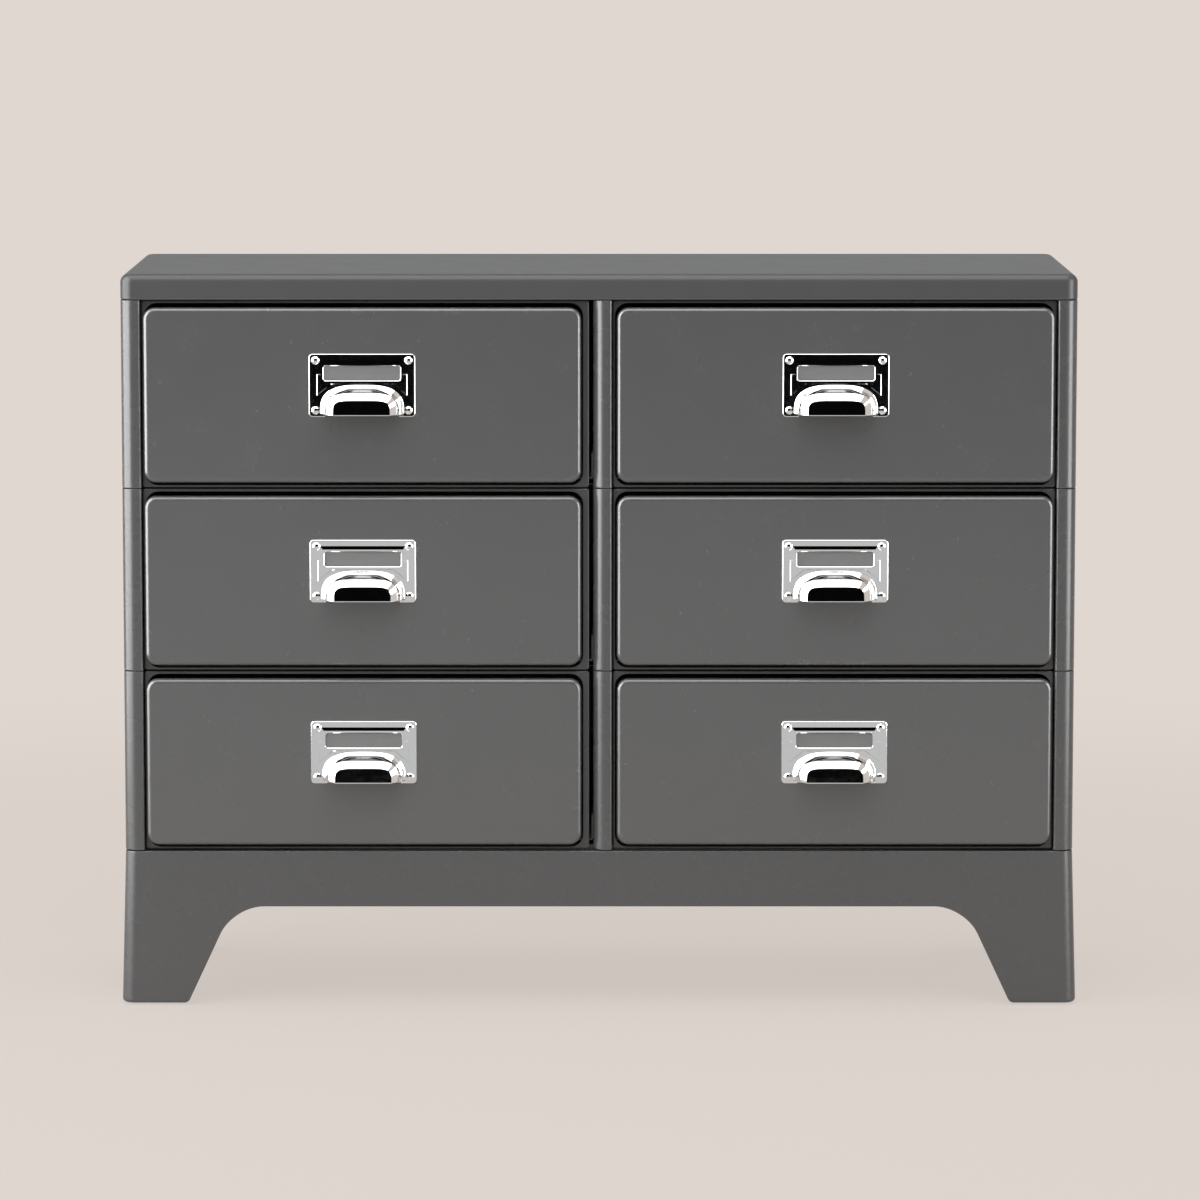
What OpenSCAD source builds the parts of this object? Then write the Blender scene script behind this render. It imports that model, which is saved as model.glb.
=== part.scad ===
// Six-drawer sheet-steel cabinet: three stacked tiers of two drawers between a pressed cap and a
// splayed base. X runs across the front, -Y faces the user and +Z is up; the floor is at z = 0.

/* [Casing] */
// Width over the side panels
body_w = 880; // [760:5:1000]
// Depth from the faces of the posts to the back
body_d = 300; // [260:5:420]
// Height of the upper tier
upper_h = 174; // [164:0.1:220]
// Height of the middle tier
middle_h = 169.7; // [164:0.1:220]
// Height of the lower tier
lower_h = 167.9; // [164:0.1:220]
// Height of the cap
cap_h = 23.8; // [22:0.1:45]
// Height of the base, from the floor
base_h = 144.8; // [125:0.1:200]
// Thickness of the casing and drawer sheet
sheet_t = 1; // [0.8:0.1:1.4]
// Radius of the upright corners
corner_r = 12; // [9:0.5:15]
// Visible joint between two tiers, on the posts
seam = 0.5; // [0.3:0.1:0.8]

/* [Posts] */
// Width of an outer post across the front
post_w = 18.4; // [16:0.1:20]
// Width of the middle post
middle_w = 17.4; // [16:0.1:18.4]
// Depth of the return folded back from a post
post_return = 24; // [20:1:40]
// Radius of the fold between a post and its return
fold_r = 2.5; // [2:0.5:4]
// How far the middle post stands right of the centre line
post_shift = 3.3; // [2:0.1:4]

/* [Cap] */
// Radius of the cap's top edge
cap_edge_r = 8; // [4:0.5:9]
// Width of the lip folded in under the cap
cap_lip = 14; // [8:1:20]

/* [Front frames] */
// Depth of the frames behind the post faces
frame_recess = 6; // [5.5:0.5:10]
// Gap between a frame and a post
frame_gap = 0.8; // [0.4:0.1:1.2]
// Wider shadow gap between the left frames and the middle post
shadow_gap = 3.7; // [1:0.1:5]
// Gap between the frames of two tiers
frame_seam = 1.2; // [0.8:0.1:2]
// Depth of the lip folded back round a frame
frame_lip = 8; // [6:1:10]
// Radius of a frame's outer corners
frame_corner_r = 2.2; // [1.6:0.2:4]
// Height of the strip left above a drawer opening
frame_strip = 2.4; // [2:0.2:4]
// Height of the strip left below a drawer opening
frame_foot = 2; // [1.6:0.2:3]
// Width of the dark line that an opening leaves beside a front, on its inner side
reveal = 1.8; // [0.4:0.2:2.2]

/* [Drawer fronts] */
// How far the drawer fronts stand out past the posts
front_proud = 2; // [0:0.5:4]
// Gap between a front and its side post
front_gap = 2.5; // [1:0.1:3.5]
// Distance from the centre line to a front
front_mid = 16.4; // [16.2:0.1:20]
// Space over a front, up to the top of its tier
front_over = 6.9; // [6:0.1:10]
// Space under a front, down to the foot of its tier
front_under = 5.5; // [3:0.1:6]
// Gap behind a closed front
rim_gap = 1; // [0.6:0.1:2]
// Radius of a front's corners
front_r = 11; // [7:0.5:16]
// Radius of a front's edges
front_edge_r = 4.5; // [2:0.5:5]
// Width of the rim folded in behind a front
front_rim = 12; // [10:1:20]

/* [Trays] */
// Inset of a tray from the edges of its front
tray_inset = 6; // [5:0.5:10]
// Height of a tray
tray_h = 135; // [90:1:138]
// Height of a tray's underside above the foot of its tier
tray_z = 9.5; // [9:0.5:14]
// How far a tray's front wall rises above its sides
tray_rise = 12; // [8:1:14]
// Space behind a closed tray
tray_back_gap = 14; // [6:1:40]
// Height of the hem folded over a tray's sides
hem_h = 9; // [5:1:15]

/* [Runners] */
// Thickness of the runner angles
runner_t = 1.5; // [1:0.1:2]
// Height of a runner
runner_h = 24; // [15:1:40]
// How far a runner reaches under its tray
runner_seat = 10; // [6:1:20]
// Running gap under a tray
run_gap = 0.3; // [0.2:0.05:0.6]

/* [Base] */
// Thickness of the base sheet
base_t = 1.5; // [1.2:0.1:2.5]
// How far the base spreads on each side at the floor
flare = 4; // [0:0.5:10]
// Height of the arches between the feet
arch_h = 92.6; // [60:0.1:110]
// Width of a foot at the floor
foot_w = 59; // [50:1:75]
// Slope of a foot's inner edge
foot_slope = 64; // [60:1:80]
// Radius where a foot runs into the apron
arch_r = 45; // [15:1:50]
// Width of the lip folded in at the top of the base
base_lip = 25; // [15:1:40]
// Height of a floor glide under the base
glide_h = 1.6; // [1:0.2:4]
// Radius of a floor glide
glide_r = 11; // [8:1:14]

/* [Label pulls] */
// Width of a pull's plate
pull_w = 97.8; // [94:0.2:120]
// Height of a pull's plate
pull_h = 58.4; // [58:0.2:70]
// Thickness of the pressed pull
pull_t = 1.2; // [1:0.1:1.6]
// How far a pull stands out from its drawer
pull_out = 21; // [16:0.5:26]
// Height of a pull's centre above the centre of its front
pull_up = 9.4; // [0:0.1:20]
// Width of the label window
window_w = 69.6; // [50:0.2:71]
// Height of the label window
window_h = 13; // [8:0.2:14]
// Height of the window's centre above the middle of the plate
window_up = 10; // [9.5:0.1:11.5]
// Width of the raised label pocket
pocket_w = 77.4; // [76.4:0.2:78]
// Width of the cup where it leaves the plate
cup_w = 77.6; // [74:0.2:78]
// Radius of the cup's root
cup_fillet = 3.5; // [2.5:0.1:4]
// Width of the cup at its shoulder
shoulder_w = 64.8; // [60:0.2:66]
// Drop from the cup's root to its shoulder
shoulder_drop = 7.4; // [6:0.2:8]
// Width of the cup's flat nose
nose_w = 52.4; // [44:0.2:56]
// Drop from the cup's root to the top of its nose
nose_drop = 12.6; // [11:0.2:14]
// Radius of the rivet shanks
rivet_r = 1.6; // [1.2:0.1:2]
// Radius of the rivet heads
rivet_head_r = 3.65; // [3:0.05:3.8]

/* [Hidden] */
rows = ["upper", "middle", "lower"];
columns = ["left", "right"];
casing_parts = ["left_side", "right_side", "divider", "shelf"];
cell_parts = ["frame", "runners", "front", "tray", "pull", "rivets", "label"];
$fn = 48;

steel_grey = [0.37, 0.37, 0.36];
inner_grey = [0.45, 0.45, 0.44];
zinc = [0.72, 0.73, 0.74];
chrome = [0.86, 0.87, 0.88];
card_grey = [0.52, 0.53, 0.53];
nylon = [0.12, 0.12, 0.12];

cut = 1;                 // how far a cutter runs past what it cuts
fit = 0.3;               // clearance between neighbouring sheets
lip = 15;                // back lip of the side panels and the divider
tier_h = [upper_h, middle_h, lower_h];
body_h = base_h + upper_h + middle_h + lower_h + cap_h;
// The whole cabinet, pulls included, is centred on y = 0
face_y = (front_proud + pull_out - body_d - flare) / 2;
back_y = face_y + body_d;
mid_y = face_y + body_d / 2;
frame_y = face_y + frame_recess;
lining_y = back_y - 2 * sheet_t;          // inner face of the back panel
front_y = face_y - front_proud;
front_depth = front_proud + frame_recess - rim_gap;
front_w = body_w / 2 - post_w - front_gap - front_mid;
tray_y = front_y + front_depth;
tray_d = lining_y - tray_back_gap - tray_y;
tray_w = front_w - 2 * tray_inset;
shelf_z = frame_seam / 2 + sheet_t;       // a shelf lies on the frames' lower lips
mid_post = [post_shift - middle_w / 2, post_shift + middle_w / 2];
shelf_lip = 9;           // turned-up ends of a shelf
screw_inset = 30;        // from the ends of a tier
screw_r = 2;
screw_head = [4, 1.6];   // radius and height
glide_stem = 4;          // radius
glide_at = [(body_w - foot_w) / 2 + flare, (body_d - foot_w) / 2 + flare];

rivet_x = 42.8;          // rivets from the middle of a pull
rivet_z = 23;
rivet_hole = rivet_r + 0.1;
rivet_dome = 1.9;
// Heights on a pull are from the middle of its plate
cup_foot = -26.5;        // open lower edge of the cup
cup_root = 0.2;          // top of the cup at the plate
shoulder_out = 14.5;     // from the drawer's face
nose_out = 19.5;         // at the nose's top; its foot stands out by pull_out
pocket_top = 23.2;
pocket_slope = [0.8, 4.2];   // sides and top of the pocket, seen from the front
pocket_step = 10.4;
pocket_ear = 2.8;        // from the pocket's side
pocket_foot = -9.4;
label_margin = 2.1;      // card hidden behind each edge of the window
label_t = 0.6;
label_w = window_w + 2 * label_margin;
label_h = window_h + 2 * label_margin;

function tier_z(row) = row == 2 ? base_h : tier_z(row + 1) + tier_h[row + 1];
function front_h(row) = tier_h[row] - front_over - front_under;
function front_x(col) = (col == 0 ? -1 : 1) * (front_mid + front_w / 2);
function front_z(row) = tier_z(row) + front_under + front_h(row) / 2;
// Span between the two posts that bound a column
function cell_x(col) = col == 0 ? [post_w - body_w / 2, mid_post[0]] : [mid_post[1], body_w / 2 - post_w];
function frame_x(col) =
    [cell_x(col)[0] + frame_gap, cell_x(col)[1] - (col == 0 ? shadow_gap : frame_gap)];

// ---- folded sheet ----

function unit(v) = v / norm(v);
function left_of(a, b) = unit([a[1] - b[1], b[0] - a[0]]);
function turn(a, b, c) = sign(cross(b - a, c - b));
// The line moved t to its left
function beside(p, t) = [for (i = [0:len(p) - 1])
    let (last = len(p) - 1, m = left_of(p[max(i - 1, 0)], p[max(i, 1)]),
         n = left_of(p[min(i, last - 1)], p[min(i + 1, last)]))
    p[i] + (m + n) * t / (1 + m * n)];
// Arc that rounds the corner b of a line through a, b and c
function bend(a, b, c, r) =
    let (m = unit(a - b), n = unit(c - b), half = acos(m * n) / 2, o = b + unit(m + n) * r / sin(half),
         start = b + m * r / tan(half) - o, steps = r > 30 ? 12 : r > 4 ? 8 : 3, s = turn(a, b, c))
    [for (i = [0:steps]) let (w = s * (180 - 2 * half) * i / steps)
        o + [start[0] * cos(w) - start[1] * sin(w), start[0] * sin(w) + start[1] * cos(w)]];
function rounded(p, r) = [for (i = [0:len(p) - 1])
    each (i == 0 || i == len(p) - 1 || r[i] <= 0 ? [p[i]] : bend(p[i - 1], p[i], p[i + 1], r[i]))];
function reversed(p) = [for (i = [len(p) - 1:-1:0]) p[i]];

// Section of a sheet folded along the line p, with the thickness on its left
module folded(p, r, t) {
    inner = [for (i = [0:len(p) - 1])
        i == 0 || i == len(p) - 1 ? 0 : r[i] - t * turn(p[i - 1], p[i], p[i + 1])];
    polygon(concat(rounded(p, r), reversed(rounded(beside(p, t), inner))));
}

module round_rect(w, h, r) {
    corner = [[w / 2, h / 2], [-w / 2, h / 2], [-w / 2, -h / 2], [w / 2, -h / 2]];
    polygon([for (i = [0:3]) each bend(corner[(i + 3) % 4], corner[i], corner[(i + 1) % 4], r)]);
}

// Section of a block's rim, w wide and h high, with its outer top edge rounded
module rim_section(w, h, r) difference() {
    square([w, h]);
    translate([w - r, h - r]) difference() {
        square(r + cut);
        circle(r);
    }
}

// Block on z = 0 with upright corners of radius R and a top edge of radius r
module soft_block(size, R, r) {
    half = [size[0] / 2 - R, size[1] / 2 - R];
    translate([-half[0], -half[1], 0]) cube([2 * half[0], 2 * half[1], size[2]]);
    for (k = [0:3]) rotate(90 * k) translate([half[k % 2], half[(k + 1) % 2], 0]) {
        rotate_extrude(angle = 90) rim_section(R, size[2], r);
        rotate([90, 0, 0]) linear_extrude(2 * half[(k + 1) % 2]) rim_section(R, size[2], r);
    }
}

// Pressed pan of thickness t, closed on top, with a lip folded in all round underneath
module pan(size, R, r, t, lip) difference() {
    soft_block(size, R, r);
    translate([0, 0, t]) soft_block([size[0] - 2 * t, size[1] - 2 * t, size[2] - 2 * t], R - t, r - t);
    translate([0, 0, -cut]) linear_extrude(t + 2 * cut)
        round_rect(size[0] - 2 * lip, size[1] - 2 * lip, R / 2);
}

// Places a drawer's parts: local x runs across, y up and z out of the front's plane
module on_front(row, col, y) translate([front_x(col), y, front_z(row)]) rotate([90, 0, 0]) children();

// ---- casing ----

module top_cap() color(steel_grey)
    translate([0, mid_y, body_h - cap_h + seam / 2])
        pan([body_w, body_d, cap_h - seam / 2], corner_r, cap_edge_r, sheet_t, cap_lip);

// Plan of a side sheet: back lip, wall, rounded post and the post's return, from the outer corner
module post_plan(width, depth) folded(
    [[lip, depth], [0, depth], [0, 0], [width, 0], [width, post_return]],
    [0, fold_r, corner_r, fold_r, 0], sheet_t);

// The screws of one tier, from behind through the side sheets' back lips and the back panel
module at_screws(row) for (x = [-1, 1], z = [screw_inset, tier_h[row] - screw_inset])
    translate([x * (body_w / 2 - lip / 2 - sheet_t), back_y, tier_z(row) + z])
        rotate([90, 0, 0]) children();
module screw_holes(row) at_screws(row)
    translate([0, 0, -cut]) cylinder(r = screw_r + 0.1, h = 3 * sheet_t + cut);

module side(row, hand) color(steel_grey) difference() {
    translate([0, face_y, tier_z(row) + seam / 2]) mirror([hand, 0, 0]) translate([-body_w / 2, 0, 0])
        linear_extrude(tier_h[row] - seam) post_plan(post_w, body_d);
    screw_holes(row);
}

// The wall behind the middle post stands on the shelf
module divider(row) color(steel_grey) translate([mid_post[0], face_y, tier_z(row)]) difference() {
    translate([0, 0, seam / 2]) linear_extrude(tier_h[row] - seam) post_plan(middle_w, lining_y - face_y);
    translate([-cut, post_return + fit, -cut])
        cube([middle_w + lip, body_d, cut + shelf_z + sheet_t]);
}

module shelf(row) color(inner_grey) {
    x = body_w / 2 - sheet_t - fit;
    front = frame_y + sheet_t;
    notch = face_y + post_return + fit;
    difference() {
        translate([0, lining_y, tier_z(row) + shelf_z]) rotate([90, 0, 0]) linear_extrude(lining_y - front)
            folded([[x, shelf_lip], [x, 0], [-x, 0], [-x, shelf_lip]], [0, fold_r, fold_r, 0], -sheet_t);
        // notches round the posts and the sides of the frames
        for (span = [[-body_w / 2, frame_x(0)[0]], [frame_x(0)[1], frame_x(1)[0]],
            [frame_x(1)[1], body_w / 2]])
            translate([span[0] - frame_corner_r, front - cut, tier_z(row)])
                cube([span[1] - span[0] + 2 * frame_corner_r, notch - front + cut, 2 * (shelf_z + shelf_lip)]);
    }
}

// Pressed frame round a drawer opening: face, and a lip folded back along its outer edge
module frame(row, col) color(steel_grey) {
    x = frame_x(col);
    w = x[1] - x[0];
    h = tier_h[row] - frame_seam;
    // the opening ends 1 mm behind the front's outer edge
    open_w = front_w + reveal - 1;
    open_x = front_x(col) - sign(front_x(col)) * (reveal + 1) / 2;
    open_top = tier_z(row) + tier_h[row] - frame_seam / 2 - frame_strip;
    open_foot = tier_z(row) + frame_seam / 2 + frame_foot;
    difference() {
        translate([(x[0] + x[1]) / 2, frame_y + frame_lip, tier_z(row) + tier_h[row] / 2]) rotate([90, 0, 0])
            difference() {
                soft_block([w, h, frame_lip], frame_corner_r, sheet_t);
                translate([0, 0, -cut]) linear_extrude(frame_lip - sheet_t + cut)
                    round_rect(w - 2 * sheet_t, h - 2 * sheet_t, frame_corner_r - sheet_t);
            }
        translate([open_x, frame_y + frame_lip + cut, (open_top + open_foot) / 2]) rotate([90, 0, 0])
            linear_extrude(frame_lip + 2 * cut) round_rect(open_w, open_top - open_foot, front_r + 1);
    }
}

module back_panel() color(steel_grey) difference() {
    translate([fold_r + fit - body_w / 2, lining_y, base_h + seam])
        cube([body_w - 2 * (fold_r + fit), sheet_t, body_h - cap_h - base_h - 2 * seam]);
    for (row = [0:2]) screw_holes(row);
}

module back_screws() color(zinc) for (row = [0:2]) at_screws(row) {
    cylinder(r = screw_r, h = 3 * sheet_t + 2);
    translate([0, 0, -screw_head[1]]) cylinder(r = screw_head[0], h = screw_head[1]);
}

// The two angles that carry one drawer, on the faces of its posts
module runners(row, col) color(inner_grey) {
    start = frame_y + frame_lip + fit;
    top = tier_z(row) + tray_z - run_gap;
    for (s = [0, 1]) {
        outer = cell_x(col)[s];
        inward = s == 0 ? 1 : -1;
        reach = abs(front_x(col) - inward * tray_w / 2 - outer) + runner_seat;
        translate([outer, lining_y, top - runner_t]) mirror([s, 0, 0]) rotate([90, 0, 0])
            linear_extrude(lining_y - start)
                folded([[0, runner_h], [0, 0], [reach, 0]], [0, fold_r, 0], runner_t);
    }
}

// ---- base ----

module base_shape(inset, low, high) {
    spread = flare * [1 - low / base_h, 1 - high / base_h];
    hull() for (end = [0, 1]) translate([0, mid_y, end == 0 ? low : high]) linear_extrude(0.01)
        round_rect(body_w + 2 * (spread[end] - inset), body_d + 2 * (spread[end] - inset), corner_r - inset);
}

// Opening between two feet that stand half * 2 apart at the floor
module arch(half) {
    run = 1 / tan(foot_slope);
    polygon(rounded([[-half - cut * run, -cut], [arch_h * run - half, arch_h],
        [half - arch_h * run, arch_h], [half + cut * run, -cut]], [0, arch_r, arch_r, 0]));
}

module at_feet() for (sx = [-1, 1], sy = [-1, 1])
    translate([sx * glide_at[0], mid_y + sy * glide_at[1], 0]) children();

module base() color(steel_grey) difference() {
    union() {
        difference() {
            base_shape(0, glide_h, base_h - seam);
            base_shape(base_t, glide_h - cut, base_h - seam - base_t);
            translate([0, mid_y, arch_h]) linear_extrude(base_h)
                round_rect(body_w - 2 * base_lip, body_d - 2 * base_lip, corner_r);
        }
        // turned-in soles of the feet
        intersection() {
            base_shape(0, glide_h, base_h - seam);
            at_feet() translate([-foot_w / 2, -foot_w / 2, glide_h]) cube([foot_w, foot_w, base_t]);
        }
    }
    translate([0, mid_y + body_d, 0]) rotate([90, 0, 0])
        linear_extrude(2 * body_d) arch(body_w / 2 + flare - foot_w);
    translate([-body_w, mid_y, 0]) rotate([90, 0, 90])
        linear_extrude(2 * body_w) arch(body_d / 2 + flare - foot_w);
    at_feet() cylinder(r = glide_stem + 0.1, h = glide_h + base_t + cut);
}

module glides() color(nylon) at_feet() {
    cylinder(r = glide_r, h = glide_h);
    cylinder(r = glide_stem, h = glide_h + base_t + 3);
}

// ---- drawers ----

module drawer_front(row, col) color(steel_grey) difference() {
    on_front(row, col, tray_y)
        pan([front_w, front_h(row), front_depth], front_r, front_edge_r, sheet_t, front_rim);
    on_front(row, col, front_y) at_rivets() translate([0, 0, -2 * sheet_t])
        cylinder(r = rivet_hole, h = 3 * sheet_t);
}

module tray(row, col) color(inner_grey)
    translate([front_x(col) - tray_w / 2, tray_y, tier_z(row) + tray_z]) {
        difference() {
            cube([tray_w, tray_d, tray_h]);
            translate([sheet_t, sheet_t, sheet_t])
                cube([tray_w - 2 * sheet_t, tray_d - 2 * sheet_t, tray_h]);
        }
        translate([0, 0, tray_h]) cube([tray_w, sheet_t, tray_rise]);
        // hems folded down outside the two sides
        for (x = [-2 * sheet_t, tray_w]) translate([x, 2 * sheet_t, tray_h - hem_h])
            cube([2 * sheet_t, tray_d - 4 * sheet_t, hem_h]);
    }

// ---- label pulls, in the frame that on_front gives, with z = 0 on the drawer's face ----

module at_rivets() for (x = [-1, 1], y = [-1, 1])
    translate([x * rivet_x, pull_up + y * rivet_z, 0]) children();

// Closed solid through a stack of rings that have equal numbers of points
module loft(rings) {
    n = len(rings[0]);
    m = len(rings);
    polyhedron([for (ring = rings) each ring], concat(
        [[for (j = [0:n - 1]) j], [for (j = [n - 1:-1:0]) (m - 1) * n + j]],
        [for (i = [0:m - 2], j = [0:n - 1]) let (k = (j + 1) % n)
            each [[i * n + j, (i + 1) * n + j, i * n + k], [i * n + k, (i + 1) * n + j, (i + 1) * n + k]]]));
}

// Arched outline: a flattened ellipse of power p above a straight foot. It lies at height z at its
// top and leans out below that.
function arch_ring(a, top, foot, p, z, lean) = [for (i = [0:20])
    let (w = 9 * i, y = foot + (top - foot) * pow(sin(w), 2 / p))
    [a * sign(cos(w)) * pow(abs(cos(w)), 2 / p), y, z + lean * (top - y)]];

// Stations of the cup from the plate to the nose: out, half width, top, power of the arch
function cup_stations(root) = concat(root,
    [[shoulder_out, shoulder_w / 2, cup_root - shoulder_drop, 4],
        [nose_out, nose_w / 2, cup_root - nose_drop, 5]]);
module cup(stations, inset, foot) {
    nose_lean = (pull_out - nose_out) / (cup_root - nose_drop - cup_foot);
    last = len(stations) - 1;
    loft([for (i = [0:last]) let (q = stations[i])
        arch_ring(q[1] - inset, q[2] - inset, foot, q[3], q[0] - inset, i == last ? nose_lean : 0)]);
}
// The sheet is drawn out of the plate over a concave root
module cup_outside() cup(cup_stations([for (i = [-1:3])
    let (w = max(0, 23 * i), in = cup_fillet * sin(w), out = i < 0 ? -pull_t / 2 : cup_fillet * (1 - cos(w)))
    [pull_t + out, cup_w / 2 - in, cup_root - in, 3]]), 0, cup_foot);
module cup_inside() cup(cup_stations([for (out = [0, pull_t + cup_fillet])
    [out, cup_w / 2 - cup_fillet, cup_root - cup_fillet, 3]]), pull_t, cup_foot - 3);

// Raised label pocket: a body with sloping sides, and an ear on each side that runs down to the cup
module pocket() {
    x = pocket_w / 2;
    foot = cup_root + 0.6;
    function body(side, top, z) = let (half = [[x - 10, foot + side], [x - side, pocket_step],
        [x - 3 * side, pocket_top - top]])
        concat([for (q = half) [q[0], q[1], z]], [for (q = reversed(half)) [-q[0], q[1], z]]);
    function ear(side, z) = [[x - 10, foot + side, z], [x + pocket_ear - side, pocket_foot + 2 * side, z],
        [x + pocket_ear - side, pocket_step - side, z], [x - 12, pocket_step - side, z]];
    levels = [[0, pull_t / 2], [0, pull_t], [1, 2 * pull_t]];
    loft([for (q = levels) body(q[0] * pocket_slope[0], q[0] * pocket_slope[1], q[1])]);
    for (k = [0, 1]) mirror([k, 0, 0]) loft([for (q = levels) ear(q[0] * pocket_slope[0], q[1])]);
}

module pull() color(chrome) translate([0, pull_up, 0]) difference() {
    union() {
        soft_block([pull_w, pull_h, pull_t], 3.5, pull_t - 0.2);
        pocket();
        cup_outside();
    }
    cup_inside();
    // slot for the card, and the window in front of it
    translate([0, window_up, -cut]) linear_extrude(pull_t + cut) round_rect(label_w + fit, label_h + fit, 1);
    translate([0, window_up, 0]) linear_extrude(3 * pull_t) round_rect(window_w, window_h, 2);
    translate([0, -pull_up, 0]) at_rivets() translate([0, 0, -cut])
        cylinder(r = rivet_hole, h = pull_t + 2 * cut);
}

module rivets() color(chrome) at_rivets() {
    ball = (pow(rivet_head_r, 2) + pow(rivet_dome, 2)) / (2 * rivet_dome);
    translate([0, 0, -sheet_t]) cylinder(r = rivet_r, h = sheet_t + pull_t);
    translate([0, 0, -2 * sheet_t]) cylinder(r = 1.8 * rivet_r, h = sheet_t);
    translate([0, 0, pull_t]) intersection() {
        translate([0, 0, rivet_dome - ball]) sphere(ball);
        cylinder(r = 2 * rivet_head_r, h = 2 * rivet_dome);
    }
}

module label() color(card_grey) translate([0, pull_up + window_up, 0])
    linear_extrude(label_t) round_rect(label_w, label_h, 0.8);

// ---- assembly ----

top_cap();
base();
glides();
back_panel();
back_screws();
for (r = [0:2]) {
    side(r, 0);
    side(r, 1);
    divider(r);
    shelf(r);
    for (c = [0:1]) {
        cell = str(rows[r], "_", columns[c]);
        frame(r, c);
        runners(r, c);
        drawer_front(r, c);
        tray(r, c);
        on_front(r, c, front_y) pull();
        on_front(r, c, front_y) rivets();
        on_front(r, c, front_y) label();
    }
}
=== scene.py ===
# Low steel drawer cabinet. Each section makes one piece, or one group of like pieces, in the order in
# which the cabinet is put together. X runs across the front, -Y faces the user, +Z is up; metres.
import bmesh
import bpy
from math import cos, pi, radians, sin
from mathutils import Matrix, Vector


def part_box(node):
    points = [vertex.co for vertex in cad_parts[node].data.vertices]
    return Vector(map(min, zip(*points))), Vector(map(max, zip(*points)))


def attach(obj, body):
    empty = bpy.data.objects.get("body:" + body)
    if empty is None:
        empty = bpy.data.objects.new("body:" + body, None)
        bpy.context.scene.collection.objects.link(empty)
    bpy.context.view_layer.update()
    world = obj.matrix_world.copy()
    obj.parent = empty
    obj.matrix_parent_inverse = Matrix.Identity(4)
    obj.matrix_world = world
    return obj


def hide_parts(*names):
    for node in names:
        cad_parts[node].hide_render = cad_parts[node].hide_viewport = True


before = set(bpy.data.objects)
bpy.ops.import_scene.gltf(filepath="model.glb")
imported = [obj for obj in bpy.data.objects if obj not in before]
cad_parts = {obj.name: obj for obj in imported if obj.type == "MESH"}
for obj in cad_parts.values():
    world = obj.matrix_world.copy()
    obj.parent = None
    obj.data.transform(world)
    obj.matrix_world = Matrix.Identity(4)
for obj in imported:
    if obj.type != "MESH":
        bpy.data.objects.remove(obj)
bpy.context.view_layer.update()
bpy.ops.object.select_all(action="DESELECT")


# ---- Base ----
# One apron of 1.5 mm steel, folded round four rounded corners and splayed a little towards the floor.
# Arches pressed out of its four sides leave the feet, whose soles are turned in; a lip at the top
# carries the lowest tier. Satin grey stoving enamel, like all of the casing.

def put_down():
    """Leaves edit mode, with nothing selected."""
    if bpy.context.object and bpy.context.object.mode == "EDIT":
        bpy.ops.object.mode_set(mode="OBJECT")
    bpy.ops.object.select_all(action="DESELECT")


def pick_up(*pieces):
    """Selects these pieces alone and makes the first of them active."""
    put_down()
    for piece in pieces:
        piece.select_set(True)
    bpy.context.view_layer.objects.active = pieces[0]


def block(name, low, high):
    """A box between two corners, left in edit mode with nothing selected."""
    low, high = Vector(low), Vector(high)
    put_down()
    bpy.ops.mesh.primitive_cube_add(size=1, location=(low + high) / 2, scale=high - low)
    bpy.ops.object.transform_apply()
    bpy.context.object.name = name
    bpy.ops.object.mode_set(mode="EDIT")
    bpy.ops.mesh.select_all(action="DESELECT")
    return bpy.context.object


def choose(kind, wanted):
    """Selects the faces or edges in edit mode that wanted is true for."""
    bpy.ops.mesh.select_mode(type=kind)
    bpy.ops.mesh.select_all(action="DESELECT")
    mesh = bpy.context.object.data
    shell = bmesh.from_edit_mesh(mesh)
    shell.normal_update()
    for item in list(shell.faces if kind == "FACE" else shell.edges):
        if wanted(item):
            item.select_set(True)
    shell.select_flush_mode()
    bmesh.update_edit_mesh(mesh)


def lies(axis, place):
    """A test for what lies in the plane across that axis."""
    return lambda item: all(abs(v.co[axis] - place) < 2e-5 for v in item.verts)


def runs(axis):
    """A test for edges that run along that axis."""
    def test(edge):
        a, b = (v.co for v in edge.verts)
        return abs((a - b).normalized()[axis]) > 0.99
    return test


def round_over(wanted, radius, steps):
    """Rounds the edges that wanted is true for."""
    choose("EDGE", wanted)
    bpy.ops.mesh.bevel(offset=radius, segments=steps, affect="EDGES")


def open_up(axis, place, rim=0):
    """Takes the face in that plane away, down to a rim."""
    choose("FACE", lies(axis, place))
    if rim:
        bpy.ops.mesh.inset(thickness=rim)
    bpy.ops.mesh.delete(type="FACE")


def score(axis, place):
    """Cuts new edges round the shape in that plane and leaves them selected."""
    point, normal = [0, 0, 0], [0, 0, 0]
    point[axis], normal[axis] = place, 1
    bpy.ops.mesh.select_all(action="SELECT")
    bpy.ops.mesh.bisect(plane_co=point, plane_no=normal)


def thicken(piece, sheet):
    """Gives the shell of a pressing its sheet, on the inside."""
    bpy.ops.object.mode_set(mode="OBJECT")
    wall = piece.modifiers.new("Sheet", "SOLIDIFY")
    wall.thickness, wall.offset, wall.use_even_offset = sheet, -1, True
    bpy.ops.object.modifier_apply(modifier=wall.name)


def combine(piece, other, operation="DIFFERENCE"):
    """Cuts the other shape out of the piece, or adds it."""
    pick_up(piece)
    cut = piece.modifiers.new("Cut", "BOOLEAN")
    cut.operation, cut.object, cut.solver = operation, other, "EXACT"
    bpy.ops.object.modifier_apply(modifier=cut.name)
    bpy.data.objects.remove(other)


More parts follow.
